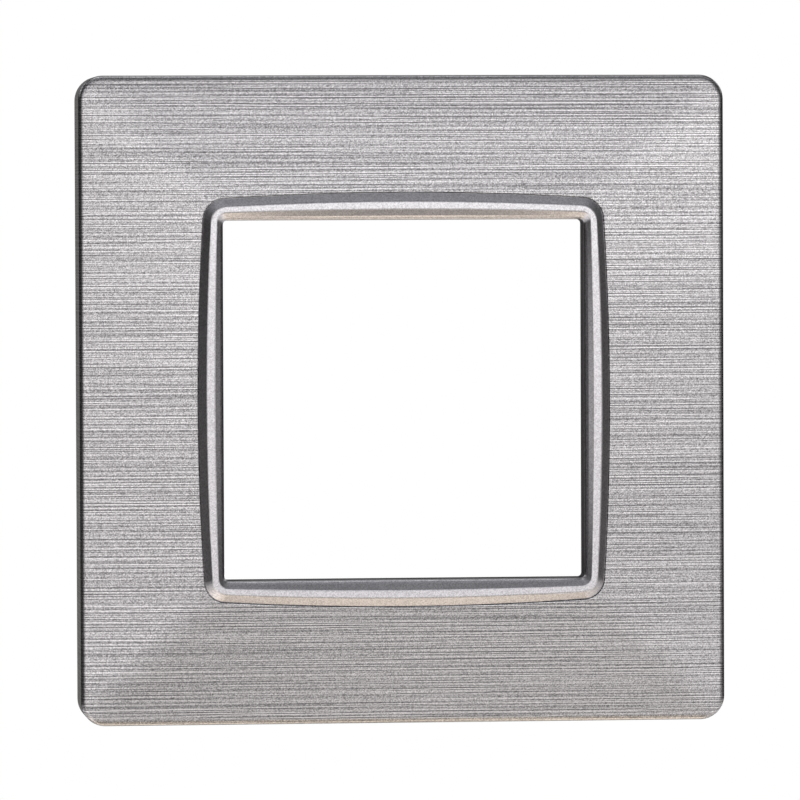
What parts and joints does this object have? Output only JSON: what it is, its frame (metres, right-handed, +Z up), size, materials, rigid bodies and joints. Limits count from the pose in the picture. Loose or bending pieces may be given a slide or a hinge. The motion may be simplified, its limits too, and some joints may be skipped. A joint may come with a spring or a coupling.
{
  "type": "switch plate",
  "caption": "Square cover plate for modular light switches: brushed metal tray with sloped faces round a bowed silver bezel and a square module opening, on a moulded carrier with snap hooks.",
  "frame": {"origin": "middle of the rear rim, on the wall plane", "axes": "+X to the right as seen from the room, +Z up, +Y into the wall, so the front faces -Y"},
  "size_m": [0.08, 0.0102, 0.08],
  "materials": {
    "brushed_sheet": "fine horizontal brushing, clear anodised",
    "silver_moulding": "moulded, metallic silver lacquer with a fine flake"
  },
  "bodies": {
    "root": {"front_plate": "brushed_sheet", "bezel_frame": "silver_moulding"}
  },
  "joints": []
}
